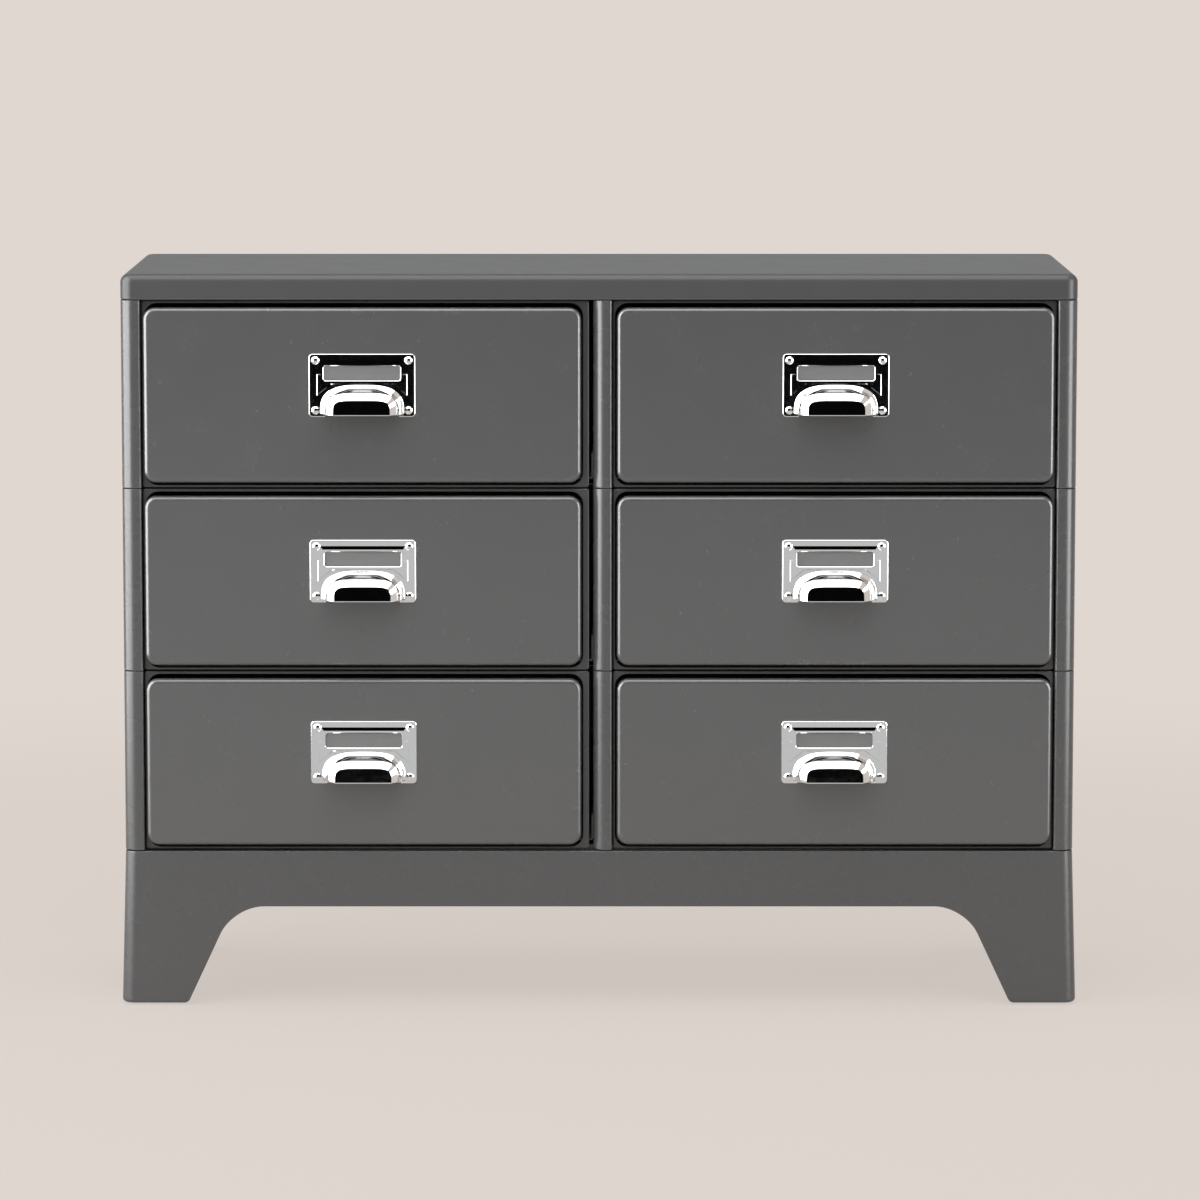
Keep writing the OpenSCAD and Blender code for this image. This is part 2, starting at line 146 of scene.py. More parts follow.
def fit(piece, finish, body, node, angle=32):
    """Smooths a finished piece, gives it its finish and puts it in place of its CAD node."""
    pick_up(piece)
    bpy.ops.object.shade_smooth_by_angle(angle=radians(angle))
    even = piece.modifiers.new("Even", "WEIGHTED_NORMAL")
    even.keep_sharp = True
    bpy.ops.object.modifier_apply(modifier=even.name)
    piece.data.materials.clear()
    piece.data.materials.append(finish)
    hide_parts(node)
    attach(piece, body)


def wire(nodes, start, end):
    """Joins two sockets of a material or of the surroundings."""
    nodes.id_data.links.new(start, end)


def finish_of(name, colour, roughness, metallic=0.0, tint=0.03, blotch=9, peel=650, depth=1.5e-5,
              sheen=0.03, shine=0.5):
    """A finish whose colour changes slowly by tint and its roughness by sheen, in patches (blotch),
    over a fine relief (peel and depth)."""
    material = bpy.data.materials.new(name)
    material.use_nodes = True
    nodes = material.node_tree.nodes
    shader = nodes["Principled BSDF"]
    shader.inputs["Metallic"].default_value = metallic
    shader.inputs["Specular IOR Level"].default_value = shine
    place = nodes.new("ShaderNodeTexCoord")

    def noise(scale, detail):
        made = nodes.new("ShaderNodeTexNoise")
        made.inputs["Scale"].default_value = scale
        made.inputs["Detail"].default_value = detail
        wire(nodes, place.outputs["Object"], made.inputs["Vector"])
        return made.outputs["Fac"]

    shade = nodes.new("ShaderNodeMix")
    shade.data_type = "RGBA"
    shade.inputs[6].default_value = (*[c * (1 - tint) for c in colour], 1)
    shade.inputs[7].default_value = (*[c * (1 + tint) for c in colour], 1)
    wire(nodes, noise(blotch, 5), shade.inputs["Factor"])
    wire(nodes, shade.outputs[2], shader.inputs["Base Color"])
    gloss = nodes.new("ShaderNodeMapRange")
    gloss.inputs["From Min"].default_value = 0.3
    gloss.inputs["From Max"].default_value = 0.7
    gloss.inputs["To Min"].default_value = roughness - sheen
    gloss.inputs["To Max"].default_value = roughness + sheen
    wire(nodes, noise(4 * blotch, 6), gloss.inputs["Value"])
    wire(nodes, gloss.outputs["Result"], shader.inputs["Roughness"])
    relief = nodes.new("ShaderNodeBump")
    relief.inputs["Strength"].default_value = 1
    relief.inputs["Distance"].default_value = depth
    wire(nodes, noise(peel, 2), relief.inputs["Height"])
    wire(nodes, relief.outputs["Normal"], shader.inputs["Normal"])
    return material


ENAMEL = finish_of("grey_enamel", (0.124, 0.128, 0.132), 0.27, sheen=0.02)
CORNER = 0.012     # the casing's rounded corners: base, posts and cap stand in line
low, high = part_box("base")
mid_y = (low.y + high.y) / 2
splay, top_lip, base_sheet = 0.004, 0.024, 0.0015
base = block("base_pressing", (low.x + splay, low.y + splay, low.z), (high.x - splay, high.y - splay, high.z))
round_over(runs(2), CORNER, 10)
choose("FACE", lies(2, low.z))
bpy.ops.transform.resize(value=(high.x / (high.x - splay), (high.y - mid_y) / (high.y - mid_y - splay), 1),
                         center_override=(0, mid_y, low.z))
round_over(lies(2, low.z), 0.0035, 4)
round_over(lies(2, high.z), 0.0012, 3)
open_up(2, high.z, top_lip)
thicken(base, base_sheet)


def stretch(across, factor, height):
    """Scales what is selected along one axis, about the middle of the base."""
    bpy.ops.transform.resize(value=(1, factor, 1) if across else (factor, 1, 1),
                             center_override=(0, mid_y, height))


# the arches: their sides rise at 64 degrees, and they flare at the floor to round the tips of the feet
foot_width, arch_top, rise, arch_bend = 0.059, 0.0926, 2.05, 0.0281
for across, half in [(0, high.x - foot_width), (1, high.y - mid_y - foot_width)]:
    reach = (1.0, half) if across else (half, 1.0)
    arch = block("arch", (-reach[0], mid_y - reach[1], -0.004), (reach[0], mid_y + reach[1], arch_top))
    choose("FACE", lies(2, arch_top))
    stretch(across, (half - arch_top / rise) / half, arch_top)
    round_over(lambda e: lies(2, arch_top)(e) and runs(1 - across)(e), arch_bend, 12)
    for height, spread in [(0.0055, 0), (0.0032, 0.0008), (0.002, 0.0022)]:
        score(2, height)
        if spread:
            bpy.ops.mesh.select_mode(type="VERT")
            stretch(across, 1 + spread / half, height)
    combine(base, arch)
fit(base, ENAMEL, "cabinet", "base")


# ---- Glides ----
# Moulded nylon discs, pressed into a hole in the sole of each foot. They keep their plain turned form.

def dress(node, finish):
    """Gives a CAD node that keeps its own shape its finish."""
    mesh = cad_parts[node].data
    mesh.materials.clear()
    mesh.materials.append(finish)


NYLON = finish_of("black_nylon", (0.02, 0.02, 0.021), 0.5, tint=0.1, blotch=60, peel=2500, depth=2e-5)
dress("glides", NYLON)


# ---- Side panels with their posts ----
# Each tier has a left and a right side, folded from one 1 mm sheet: a screw lip at the back, the flat
# wall, a post with a wide soft bend at its outer corner, and a return folded back towards the drawers.
# The sheared ends of the sheet are dressed over, which shows as a fine bright line at every tier.
TIERS = ["upper", "middle", "lower"]
COLUMNS = ["left", "right"]
SHEET = 0.001
RETURN_DEPTH, BACK_LIP, TIGHT_BEND = 0.024, 0.015, 0.0025


def post_pressing(name, low, high, notch=0):
    """A side, folded from the back lip to the return behind its post, with a notch under its wall."""
    def on_post_corner(edge, x):
        return runs(2)(edge) and lies(0, x)(edge) and lies(1, low.y)(edge)

    def on_back_corner(edge):
        return runs(2)(edge) and lies(0, low.x)(edge) and lies(1, high.y)(edge)

    def in_notch(face):
        return all(v.co.y > low.y + 0.0242 and v.co.z < low.z + notch + 1e-5 for v in face.verts)

    def shows_in_front(face):
        beside = face.calc_center_median().x < low.x + CORNER
        return face.normal.y < -0.15 or face.normal.x < -0.15 and beside

    piece = block(name, low, high)
    choose("FACE", lambda f: lies(2, low.z)(f) or lies(2, high.z)(f))
    bpy.ops.mesh.delete(type="FACE")
    score(1, low.y + RETURN_DEPTH)
    choose("FACE", lambda f: lies(0, high.x)(f) and f.calc_center_median().y > low.y + RETURN_DEPTH)
    bpy.ops.mesh.delete(type="FACE")
    choose("EDGE", lambda e: lies(0, high.x)(e) and lies(1, high.y)(e))
    bpy.ops.transform.translate(value=(low.x + BACK_LIP - high.x, 0, 0))
    round_over(lambda e: on_post_corner(e, low.x), CORNER, 12)
    round_over(lambda e: on_post_corner(e, high.x) or on_back_corner(e), TIGHT_BEND, 4)
    if notch:
        score(1, low.y + 0.0243)
        score(2, low.z + notch)
        choose("FACE", in_notch)
        bpy.ops.mesh.delete(type="FACE")
    thicken(piece, SHEET)
    bpy.ops.object.mode_set(mode="EDIT")
    for end in (low.z, high.z):
        round_over(lambda e: lies(2, end)(e) and any(shows_in_front(f) for f in e.link_faces), 0.0008, 3)
    bpy.ops.object.mode_set(mode="OBJECT")
    return piece


def copy_of(piece, name, shift=(0, 0, 0), mirrored=False):
    """A copy with its own mesh, moved, or mirrored to the other side of the cabinet."""
    pick_up(piece)
    bpy.ops.object.duplicate()
    twin = bpy.context.object
    twin.name = name
    if mirrored:
        bpy.ops.transform.resize(value=(-1, 1, 1), center_override=(0, 0, 0))
    bpy.ops.transform.translate(value=shift)
    bpy.ops.object.transform_apply()
    if mirrored:
        bpy.ops.object.mode_set(mode="EDIT")
        bpy.ops.mesh.select_all(action="SELECT")
        bpy.ops.mesh.normals_make_consistent(inside=False)
        bpy.ops.object.mode_set(mode="OBJECT")
    return twin


for tier in TIERS:
    side = post_pressing("side_blank", *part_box(tier + "_left_side"))
    for column in COLUMNS:
        panel = copy_of(side, f"{tier}_{column}_side_panel", mirrored=column == "right")
        fit(panel, ENAMEL, "cabinet", f"{tier}_{column}_side")
    bpy.data.objects.remove(side)


# ---- Middle posts with the dividing wall ----
# The same pressing as a left side, a little less deep, standing between the two drawers of a tier. Its
# wall is cut back at the foot, behind the return, so that it stands on the shelf.
for tier in TIERS:
    wall = post_pressing(tier + "_middle_post_and_wall", *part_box(tier + "_divider"), notch=0.00235)
    fit(wall, ENAMEL, "cabinet", tier + "_divider")


# ---- Shelves ----
# A plain tray-shaped sheet closes each tier underneath, notched round the posts and spot welded to the
# sides. It gets only the thin inside coat of enamel, which is duller and a shade lighter.
INNER = finish_of("inner_enamel", (0.17, 0.17, 0.168), 0.5, tint=0.05, blotch=14, peel=420, depth=3e-5)
for tier in TIERS:
    dress(tier + "_shelf", INNER)


# ---- Front frames ----
# A pressed frame stands 6 mm behind the posts round each drawer opening: a flat face with small round
# corners, and a lip folded back along its outer edge with a tight bend that shines.
# Each opening ends 1 mm behind the drawer front's outer edge, and 1.8 mm beside its inner one.
# The frames' enamel is painted much darker than the casing's: painted shade, for the shadow in their recess
# between the posts and the drawer fronts.
FRAME_ENAMEL_PAINTED_SHADE = finish_of("frame_enamel_painted_shade", (0.076, 0.079, 0.082), 0.3, tint=0.06, blotch=14)
outer_lap, inner_gap, foot_rim, top_rim = 0.001, 0.0018, 0.002, 0.0024
for tier in TIERS:
    for column in COLUMNS:
        low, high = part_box(f"{tier}_{column}_frame")
        rim = block(f"{tier}_{column}_opening_frame", low, high)
        round_over(runs(1), 0.0022, 4)
        round_over(lies(1, low.y), 0.0016, 4)
        open_up(1, high.y)
        thicken(rim, SHEET)
        left, right = (corner.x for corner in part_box(f"{tier}_{column}_front"))
        if column == "left":
            left, right = left + outer_lap, right + inner_gap
        else:
            left, right = left - inner_gap, right - outer_lap
        mouth = block("mouth", (left, low.y - 0.01, low.z + foot_rim),
                      (right, high.y + 0.01, high.z - top_rim))
        round_over(runs(1), 0.012, 10)
        combine(rim, mouth)
        fit(rim, FRAME_ENAMEL_PAINTED_SHADE, "cabinet", f"{tier}_{column}_frame")


# ---- Runners ----
# Two angles of 1.5 mm steel carry each drawer. They are fastened along the faces of its posts, get the
# inside coat, and keep their plain folded form.
for tier in TIERS:
    for column in COLUMNS:
        dress(f"{tier}_{column}_runners", INNER)


# ---- Back panel and its screws ----
# One flat sheet closes the back, held to the back lips of the sides by twelve pan-head screws with
# cross recesses, zinc plated.
ZINC = finish_of("zinc_plate", (0.55, 0.56, 0.57), 0.34, 1.0, tint=0.08, blotch=40, peel=900, depth=1.5e-5,
                 sheen=0.08)
dress("back_panel", ENAMEL)
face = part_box("back_panel")[1].y
head_radius, head_height, shank_radius, half_seam, from_seam = 0.004, 0.0016, 0.002, 0.00025, 0.03
lip_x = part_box("back_screws")[1].x - head_radius
places = []
for tier in TIERS:
    foot, top = (corner.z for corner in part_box(tier + "_left_side"))
    for x in (-lip_x, lip_x):
        places += [(x, foot - half_seam + from_seam), (x, top + half_seam - from_seam)]
put_down()
bpy.ops.mesh.primitive_cylinder_add(vertices=32, radius=head_radius, depth=head_height,
                                    location=(0, face + head_height / 2, 0), rotation=(pi / 2, 0, 0))
bpy.ops.object.transform_apply()
screw = bpy.context.object
bpy.ops.object.mode_set(mode="EDIT")
round_over(lies(1, face + head_height), 0.0011, 5)
bpy.ops.object.mode_set(mode="OBJECT")
for x, z in [(0.0022, 0.0006), (0.0006, 0.0022)]:
    combine(screw, block("recess", (-x, face + 0.0006, -z), (x, face + 0.01, z)))
put_down()
bpy.ops.mesh.primitive_cylinder_add(vertices=24, radius=shank_radius, depth=0.0032,
                                    location=(0, face - 0.0014, 0), rotation=(pi / 2, 0, 0))
bpy.ops.object.transform_apply()
combine(screw, bpy.context.object, "UNION")
twins = [copy_of(screw, "screw", (x, 0, z)) for x, z in places]
pick_up(*twins)
bpy.ops.object.join()
twins[0].name = "back_panel_screws"
fit(twins[0], ZINC, "cabinet", "back_screws")
bpy.data.objects.remove(screw)


# ---- Top cap ----
# A pressed pan over the top tier: rounded corners, a soft edge round the top, its lower edge turned out
# by half a millimetre and rolled under into a narrow lip.
# The cap's enamel is painted a shade darker than the casing's: painted shade, for the dimmer light on the cap.
CAP_ENAMEL_PAINTED_SHADE = finish_of("cap_enamel_painted_shade", (0.121, 0.125, 0.129), 0.3, sheen=0.02, shine=0.25)
low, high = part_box("top_cap")
cap = block("cap_pressing", low, high)
round_over(runs(2), CORNER, 10)
round_over(lies(2, high.z), 0.008, 8)
round_over(lies(2, low.z), 0.0009, 3)
for height in (0.0022, 0.001):
    score(2, low.z + height)
choose("FACE", lambda f: all(v.co.z < low.z + 0.0011 for v in f.verts))
turned_out, half_depth, under_lip = 0.0005, 0.15, 0.0125
bpy.ops.transform.resize(value=(1, 1 + turned_out / half_depth, 1),
                         center_override=(0, (low.y + high.y) / 2, low.z))
open_up(2, low.z, under_lip)
thicken(cap, SHEET)
fit(cap, CAP_ENAMEL_PAINTED_SHADE, "cabinet", "top_cap")


# ---- Drawer trays ----
# Each drawer is a tray folded from 1 mm sheet. Its front wall rises above the sides and closes the
# drawer front from behind; the tops of the sides are hemmed outwards, so that no sheared edge is left.
low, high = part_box("lower_left_tray")
front_rise, hem_fall = 0.012, 0.008
fold_z = high.z - front_rise - SHEET     # the hems turn over here, with one sheet above
left, right = low.x + 2 * SHEET, high.x - 2 * SHEET
tray = block("tray_blank", (left, low.y, low.z), (right, high.y, fold_z))
open_up(2, fold_z)
round_over(lambda e: lies(2, low.z)(e) or runs(2)(e) and lies(1, high.y)(e), 0.0015, 3)
choose("EDGE", lambda e: lies(2, fold_z)(e) and lies(1, low.y)(e))
bpy.ops.mesh.extrude_region_move(TRANSFORM_OT_translate={"value": (0, 0, front_rise + SHEET)})
for x, out in [(left, -1), (right, 1)]:
    choose("EDGE", lambda e: lies(2, fold_z)(e) and lies(0, x)(e) and runs(1)(e))
    bpy.ops.mesh.extrude_region_move(TRANSFORM_OT_translate={"value": (SHEET * out, 0, 0)})
    bpy.ops.mesh.extrude_region_move(TRANSFORM_OT_translate={"value": (0, 0, -hem_fall)})
thicken(tray, SHEET)
for tier in TIERS:
    for column in COLUMNS:
        node = f"{tier}_{column}_tray"
        made = copy_of(tray, node + "_folded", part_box(node)[0] - low)
        fit(made, INNER, f"{tier}_{column}_drawer", node)
bpy.data.objects.remove(tray)


# ---- Drawer fronts ----
# Shallow pressed pans with well rounded corners and edges, which lie over the openings and stand 2 mm
# proud of the posts. Their rims are folded in behind and spot welded to the trays. Their enamel is painted
# a shade lighter than the casing's: painted light, for the brighter light that falls on the fronts.
FRONT_ENAMEL_PAINTED_LIGHT = finish_of("front_enamel_painted_light", (0.131, 0.136, 0.14), 0.26, sheen=0.02, shine=0.9)
front_corner, front_edge, front_rim = 0.011, 0.0045, 0.012
for tier in TIERS:
    low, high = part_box(tier + "_left_front")
    front = block("front_blank", low, high)
    round_over(runs(1), front_corner, 10)
    round_over(lies(1, low.y), front_edge, 8)
    open_up(1, high.y, front_rim)
    thicken(front, SHEET)
    for column in COLUMNS:
        node = f"{tier}_{column}_front"
        made = copy_of(front, node + "_pressing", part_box(node)[0] - low)
        fit(made, FRONT_ENAMEL_PAINTED_LIGHT, f"{tier}_{column}_drawer", node)
    bpy.data.objects.remove(front)


# ---- Label cup pulls ----
# Stamped from one 1.2 mm sheet and chromed: a flat plate with rolled edges, a raised pocket with a
# window for the label, and below it a cup drawn out over a rounded root, with a bevelled top, a flat
# nose and a curled lip at its open foot. Sizes on the pull are in millimetres from the plate's middle.
PULL_T = 0.0012
face_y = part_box("lower_left_front")[0].y
plate_low, plate_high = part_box("lower_left_pull")
centre = Vector(((plate_low.x + plate_high.x) / 2, face_y, (plate_low.z + plate_high.z) / 2))


def on_plate(x, up, out):
    """A point on the pull: across and up from the middle of its plate, and out from the drawer's face."""
    return centre + Vector((x, -out, up)) / 1000


def arch_ring(half, top, foot, power, out, lean=0.0, count=61):
    """The cup's outline at one height above the face: half a squarish ellipse on a straight foot."""
    ring = []
    for i in range(count):
        c, s = cos(pi * i / (count - 1)), sin(pi * i / (count - 1))
        up = foot + (top - foot) * max(s, 0) ** (2 / power)
        across = half * (1 if c > 0 else -1) * abs(c) ** (2 / power)
        ring.append(on_plate(across, up, out + lean * (top - up)))
    return ring


def drawn(name, rings):
    """A closed shape drawn out through rings with equal numbers of points."""
    put_down()
    bpy.ops.mesh.primitive_circle_add(vertices=len(rings[0]), radius=0.01, fill_type="NGON")
    piece = bpy.context.object
    piece.name = name
    for vertex, point in zip(piece.data.vertices, rings[0]):
        vertex.co = point
    bpy.ops.object.mode_set(mode="EDIT")
    bpy.ops.mesh.select_mode(type="VERT")
    bpy.ops.mesh.select_all(action="SELECT")
    bpy.ops.mesh.select_mode(type="FACE")
    for last, ring in zip(rings, rings[1:]):
        bpy.ops.mesh.extrude_region_move()
        shell = bmesh.from_edit_mesh(piece.data)
        for vertex in [v for v in shell.verts if v.select]:
            vertex.co = ring[min(range(len(ring)), key=lambda k: (last[k] - vertex.co).length)]
        bmesh.update_edit_mesh(piece.data)
    bpy.ops.mesh.select_all(action="SELECT")
    bpy.ops.mesh.normals_make_consistent(inside=False)
    bpy.ops.mesh.select_all(action="DESELECT")
    return piece


# the plate
pull = block("pull_blank", on_plate(-48.9, -29.2, 0) - Vector((0, PULL_T, 0)), on_plate(48.9, 29.2, 0))
round_over(runs(1), 0.0035, 8)
round_over(lies(1, centre.y - PULL_T), 0.001, 4)

# the pocket, 0.6 mm high: corners of its right half, and how far each draws in towards the pocket's face
# at its sides (across and up, times 0.4) and at its top (times 3.2)
POCKET, SIDE_DRAW, TOP_DRAW = 1.8, 0.4, 3.2
outline = [(28.7, 1.2, 0, 1, 0), (41.5, -9.4, -1, 2, 0), (41.5, 10.4, -1, -1, 0), (37.1, 10.4, 0, 0, 0),
           (37.1, 20.6, 0, -1.2, 0), (39.4, 23.4, -5.9, 0, -1)]
rings = []
for out, inward in [(0.6, 0), (1.2, 0), (POCKET, 1)]:
    half = [on_plate(x + inward * SIDE_DRAW * a, y + inward * (SIDE_DRAW * b + TOP_DRAW * c), out)
            for x, y, a, b, c in outline]
    rings.append(half + [Vector((2 * centre.x - p.x, p.y, p.z)) for p in reversed(half)])
combine(pull, drawn("pocket", rings), "UNION")

# the cup: a low step, a sloping root that turns up into the steep wall, the bevel and the flat nose
FOOT, ROOT, LEAN = -26.5, 0.7, 1.5 / 14.1
profile = [(0, 0.6), (0, 1.15), (0.3, 1.25), (0.5, 1.4), (0.7, 1.6),
           (2.75, 3.65), (2.95, 3.85), (3.3, 4.5), (3.55, 5.2), (3.75, 5.8)]
rings = [arch_ring(38.8 - inset, ROOT - inset, FOOT, 3, out) for inset, out in profile]
rings += [arch_ring(32.8, ROOT - 6.25, FOOT, 3.85, 13.2), arch_ring(32.4, ROOT - 6.7, FOOT, 4, 14.5),
          arch_ring(26.2, ROOT - 13.1, FOOT, 5, 19.5, LEAN)]
cup = drawn("cup", rings)
round_over(lies(1, centre.y - 0.0145), 0.0009, 3)
combine(pull, cup, "UNION")
BELOW = FOOT - 3
combine(pull, drawn("hollow", [arch_ring(34.1, ROOT - 5.2, BELOW, 3, -1.2),
                               arch_ring(34.1, ROOT - 5.2, BELOW, 3, 3.5),
                               arch_ring(31.2, ROOT - 8.1, BELOW, 4, 13.3),
                               arch_ring(25, ROOT - 14.3, BELOW, 5, 18.3, LEAN)]))

# the slot for the card, and the window over it, whose edges are rolled in
combine(pull, block("slot", on_plate(-37.05, 1.25, 1.2), on_plate(37.05, 18.75, -1)))
window = block("window", on_plate(-35.4, 4.4, POCKET), on_plate(35.4, 18.2, -1))
round_over(runs(1), 0.002, 6)
choose("FACE", lies(1, centre.y - POCKET / 1000))
for wider, out in [(0.1, 0.1), (0.25, 0.15), (0.45, 0.3)]:
    bpy.ops.mesh.extrude_region_move(TRANSFORM_OT_translate={"value": (0, -out / 1000, 0)})
    bpy.ops.transform.resize(value=(1 + wider / 35.2, 1, 1 + wider / 6.95),
                             center_override=on_plate(0, 11.3, POCKET))
bpy.ops.mesh.select_all(action="SELECT")
bpy.ops.transform.translate(value=(0, 0.00025, 0))
combine(pull, window)


def on_curled_lip(edge):
    at_foot = lies(2, centre.z + FOOT / 1000)(edge)
    return at_foot and any(f.normal.y < -0.3 and f.normal.z > -0.5 for f in edge.link_faces)


def on_pocket_foot(edge):
    within = all(v.co.z > centre.z - 0.012 and abs(v.co.x - centre.x) < 0.045 for v in edge.verts)
    return lies(1, centre.y - PULL_T)(edge) and within


bpy.ops.object.mode_set(mode="EDIT")
round_over(on_curled_lip, 0.0011, 3)
for crease in (on_pocket_foot, lies(1, centre.y - POCKET / 1000)):
    choose("EDGE", crease)
    bpy.ops.mesh.mark_sharp()
bpy.ops.object.mode_set(mode="OBJECT")

CHROME = finish_of("chrome_plate", (0.78, 0.785, 0.79), 0.06, 1.0, tint=0.02, blotch=50, peel=260,
                   depth=4e-6, sheen=0.02)
for tier in TIERS:
    for column in COLUMNS:
        node = f"{tier}_{column}_pull"
        made = copy_of(pull, f"{tier}_{column}_label_cup_pull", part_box(node)[0] - plate_low)
        fit(made, CHROME, f"{tier}_{column}_drawer", node, angle=20)
bpy.data.objects.remove(pull)


# ---- Rivets ----
# Four chromed rivets with low domes hold each pull. A thin shank goes through the plate and the drawer
# front, and the tail is set flat behind it.
plate_face, head_radius, dome = 1.2, 3.65, 1.5     # millimetres
ball = (head_radius ** 2 + dome ** 2) / (2 * dome)
heads = []
for x in (-42.8, 42.8):
    for up in (-23, 23):
        put_down()
        bpy.ops.mesh.primitive_uv_sphere_add(segments=48, ring_count=48, radius=ball / 1000,
                                             location=on_plate(x, up, plate_face + dome - ball),
                                             rotation=(pi / 2, 0, 0))
        bpy.ops.object.transform_apply()
        head = bpy.context.object
        bpy.ops.object.mode_set(mode="EDIT")
        bpy.ops.mesh.select_all(action="SELECT")
        bpy.ops.mesh.bisect(plane_co=on_plate(0, 0, plate_face), plane_no=(0, 1, 0), clear_outer=True,
                            use_fill=True)
        bpy.ops.object.mode_set(mode="OBJECT")
        bpy.ops.mesh.primitive_cylinder_add(vertices=24, radius=0.0016, depth=0.0022,
                                            location=on_plate(x, up, 0.1), rotation=(pi / 2, 0, 0))
        shank = bpy.context.object
        bpy.ops.mesh.primitive_cylinder_add(vertices=32, radius=0.00288, depth=0.001,
                                            location=on_plate(x, up, -1.5), rotation=(pi / 2, 0, 0))
        tail = bpy.context.object
        bpy.ops.object.transform_apply()
        bpy.ops.object.mode_set(mode="EDIT")
        round_over(lies(1, centre.y + 0.002), 0.0004, 3)
        bpy.ops.object.mode_set(mode="OBJECT")
        heads += [head, shank, tail]
pick_up(*heads)
bpy.ops.object.join()
bpy.ops.object.transform_apply()
rivets = heads[0]
for tier in TIERS:
    for column in COLUMNS:
        node = f"{tier}_{column}_rivets"
        made = copy_of(rivets, f"{tier}_{column}_pull_rivets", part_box(f"{tier}_{column}_pull")[0] - plate_low)
        fit(made, CHROME, f"{tier}_{column}_drawer", node)
bpy.data.objects.remove(rivets)


# ---- Label cards ----
# A blank grey card, cut from matt stock with slightly rounded corners, slides into the pocket of each
# pull from below and lies behind its window.
CARD = finish_of("grey_card", (0.218, 0.223, 0.226), 0.8, tint=0.05, blotch=120, peel=3500, depth=3e-5)
low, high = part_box("lower_left_label")
card = block("card_blank", low, high)
round_over(runs(1), 0.0008, 3)
round_over(lies(1, low.y), 0.0001, 2)
for tier in TIERS:
    for column in COLUMNS:
        node = f"{tier}_{column}_label"
        made = copy_of(card, f"{tier}_{column}_label_card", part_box(node)[0] - low)
        fit(made, CARD, f"{tier}_{column}_drawer", node)
bpy.data.objects.remove(card)


# ---- Studio ----
# A pale floor that fades into a background of the same colour, a wide soft lamp overhead and a weak one
# at the left. Three strips and three flags show in gloss alone: the strips shine in edges and chrome,
# and the flags, a dark one in front and grey ones behind and on the floor, shade the reflections.
BACKDROP = (0.745, 0.679, 0.631)
scene = bpy.context.scene


def seen_directly(nodes):
    """1 for what the camera, a mirror or glass sees, and 0 for light that is scattered."""
    rays = nodes.new("ShaderNodeLightPath")
    total = rays.outputs["Is Camera Ray"]
    for name in ("Is Glossy Ray", "Is Transmission Ray"):
        either = nodes.new("ShaderNodeMath")
        either.operation = "MAXIMUM"
        wire(nodes, total, either.inputs[0])
        wire(nodes, rays.outputs[name], either.inputs[1])
        total = either.outputs[0]
    return total


world = bpy.data.worlds.new("studio")
scene.world = world
world.use_nodes = True
nodes = world.node_tree.nodes
seen = nodes["Background"]
seen.inputs["Color"].default_value = (*BACKDROP, 1)
room = nodes.new("ShaderNodeBackground")
room.inputs["Color"].default_value = (1, 0.99, 0.975, 1)
room.inputs["Strength"].default_value = 0.45
either = nodes.new("ShaderNodeMixShader")
wire(nodes, seen_directly(nodes), either.inputs["Fac"])
wire(nodes, room.outputs[0], either.inputs[1])
wire(nodes, seen.outputs[0], either.inputs[2])
wire(nodes, either.outputs[0], nodes["World Output"].inputs["Surface"])

put_down()
bpy.ops.mesh.primitive_circle_add(vertices=96, radius=12, fill_type="NGON")
floor = bpy.context.object
floor.name = "floor"
paint = bpy.data.materials.new("floor_paint")
paint.use_nodes = True
nodes = paint.node_tree.nodes
shader = nodes["Principled BSDF"]
shader.inputs["Base Color"].default_value = (0.84, 0.765, 0.715, 1)
shader.inputs["Roughness"].default_value = 0.9
shader.inputs["Specular IOR Level"].default_value = 0.1
place = nodes.new("ShaderNodeTexCoord")
spread = nodes.new("ShaderNodeVectorMath")
spread.operation = "LENGTH"
wire(nodes, place.outputs["Object"], spread.inputs[0])
fade = nodes.new("ShaderNodeMapRange")
fade.interpolation_type = "SMOOTHSTEP"
fade.inputs["From Min"].default_value = 0.9
fade.inputs["From Max"].default_value = 2.2
fade.inputs["To Min"].default_value = 0.78
wire(nodes, spread.outputs["Value"], fade.inputs["Value"])
direct = nodes.new("ShaderNodeMath")
direct.operation = "MULTIPLY"
wire(nodes, fade.outputs["Result"], direct.inputs[0])
wire(nodes, seen_directly(nodes), direct.inputs[1])
glow = nodes.new("ShaderNodeEmission")
glow.inputs["Color"].default_value = (*BACKDROP, 1)
blend = nodes.new("ShaderNodeMixShader")
wire(nodes, direct.outputs[0], blend.inputs["Fac"])
wire(nodes, shader.outputs[0], blend.inputs[1])
wire(nodes, glow.outputs[0], blend.inputs[2])
wire(nodes, blend.outputs[0], nodes["Material Output"].inputs["Surface"])
floor.data.materials.append(paint)


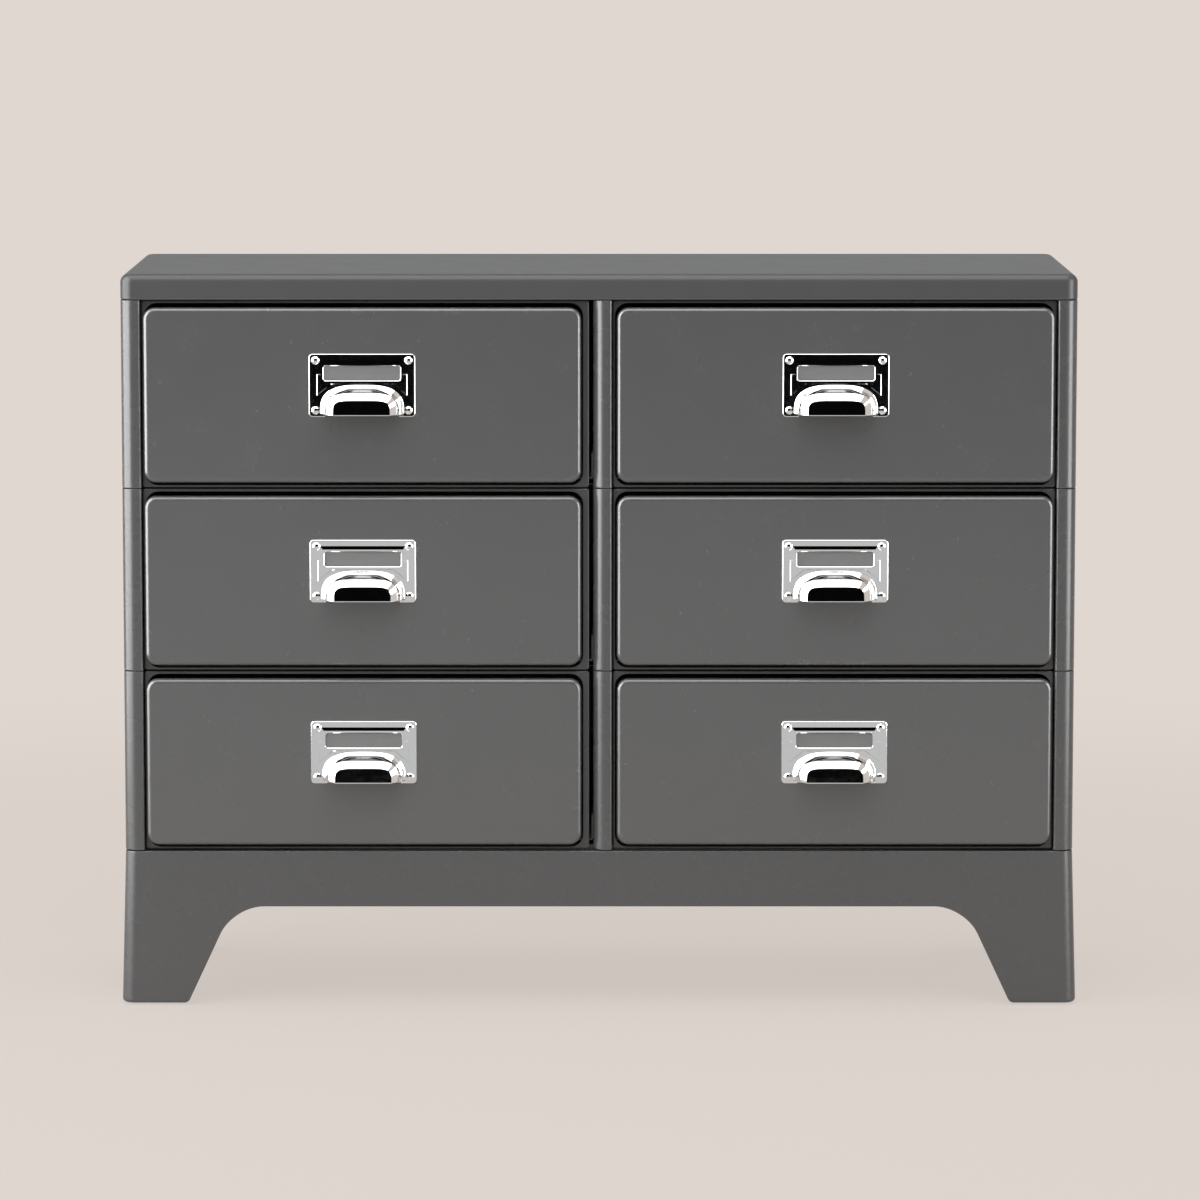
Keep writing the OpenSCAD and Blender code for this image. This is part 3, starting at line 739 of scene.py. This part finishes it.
def softbox(name, place, aim, size, power):
    """A soft rectangular lamp that faces the aimed point."""
    bpy.ops.object.light_add(type="AREA", location=place)
    lamp = bpy.context.object
    lamp.name = name
    lamp.rotation_euler = (Vector(aim) - Vector(place)).to_track_quat("-Z", "Y").to_euler()
    lamp.data.shape = "RECTANGLE"
    lamp.data.size, lamp.data.size_y = size
    lamp.data.energy = power
    return lamp


softbox("overhead", (0, -1.1, 2.7), (0, -1.0, 0), (2.4, 2.8), 27)
softbox("left_fill", (-2.0, -1.4, 0.9), (0, -0.2, 0.4), (1.2, 1.6), 10)
for name, place, aim, size, power in [
        ("left_strip", (-2.0, -0.95, 1.5), (0, -0.95, 1.5), (2.5, 3.0), 205),
        ("right_strip", (2.0, -1.15, 0.85), (0, -1.15, 0.85), (1.3, 1.7), 60),
        ("top_strip", (-0.5, -0.9, 2.65), (-0.5, -0.9, 0), (3.4, 2.2), 55)]:
    softbox(name, place, aim, size, power).visible_diffuse = False

for name, place, size, upright, shade in [
        ("dark_screen", (0, -2.6, 1.57), (2.8, 2.66), True, 0.002),
        ("grey_flag_behind", (0, 1.6, 2.1), (6, 3.2), True, 0.36),
        ("grey_flag_on_floor", (0, -3.3, 0.002), (3.6, 4.0), False, 0.64)]:
    put_down()
    bpy.ops.mesh.primitive_plane_add(size=1, location=place, rotation=(pi / 2 * upright, 0, 0))
    flag = bpy.context.object
    flag.name = name
    bpy.ops.transform.resize(value=(size[0], 1, size[1]) if upright else (*size, 1))
    bpy.ops.object.transform_apply()
    flag.visible_camera = flag.visible_diffuse = flag.visible_shadow = False
    cloth = bpy.data.materials.new(name + "_cloth")
    cloth.use_nodes = True
    shader = cloth.node_tree.nodes["Principled BSDF"]
    shader.inputs["Base Color"].default_value = (0, 0, 0, 1)
    shader.inputs["Roughness"].default_value = 1
    shader.inputs["Specular IOR Level"].default_value = 0
    shader.inputs["Emission Color"].default_value = (shade, shade, shade, 1)
    shader.inputs["Emission Strength"].default_value = 1
    flag.data.materials.append(cloth)

bpy.ops.object.camera_add(location=(0.0009, -5.525, 1.043), rotation=(radians(82.972), 0, 0))
scene.camera = bpy.context.object
scene.camera.data.lens = 176.3
scene.camera.data.sensor_width = 36
scene.view_settings.view_transform = "Standard"
